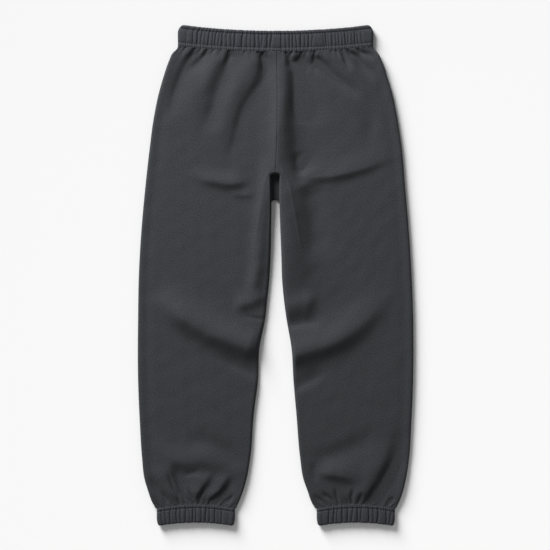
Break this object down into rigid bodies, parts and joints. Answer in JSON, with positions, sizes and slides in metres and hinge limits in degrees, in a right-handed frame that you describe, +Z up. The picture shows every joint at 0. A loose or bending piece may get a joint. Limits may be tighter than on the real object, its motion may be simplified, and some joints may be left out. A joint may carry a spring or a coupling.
{
  "type": "jogger sweatpants",
  "caption": "Fleece jogger sweatpants laid flat, with an elastic waistband, folded legs and gathered elastic cuffs.",
  "frame": {"origin": "middle of the garment's outline, on the surface that it lies on", "axes": "+Y from the cuffs to the waist, +X to the right as seen from above the front, +Z up out of the front"},
  "size_m": [0.5624, 1.0196, 0.024],
  "materials": {
    "fleece": "brushed charcoal cotton fleece, matt with a faint nap",
    "elastic_fleece": "the same fleece sewn over elastic, closely gathered"
  },
  "bodies": {
    "root": {"front_left": "fleece", "front_right": "fleece", "back_left": "fleece", "back_right": "fleece", "waistband": "elastic_fleece", "cuff_left": "elastic_fleece", "cuff_right": "elastic_fleece"}
  },
  "joints": []
}
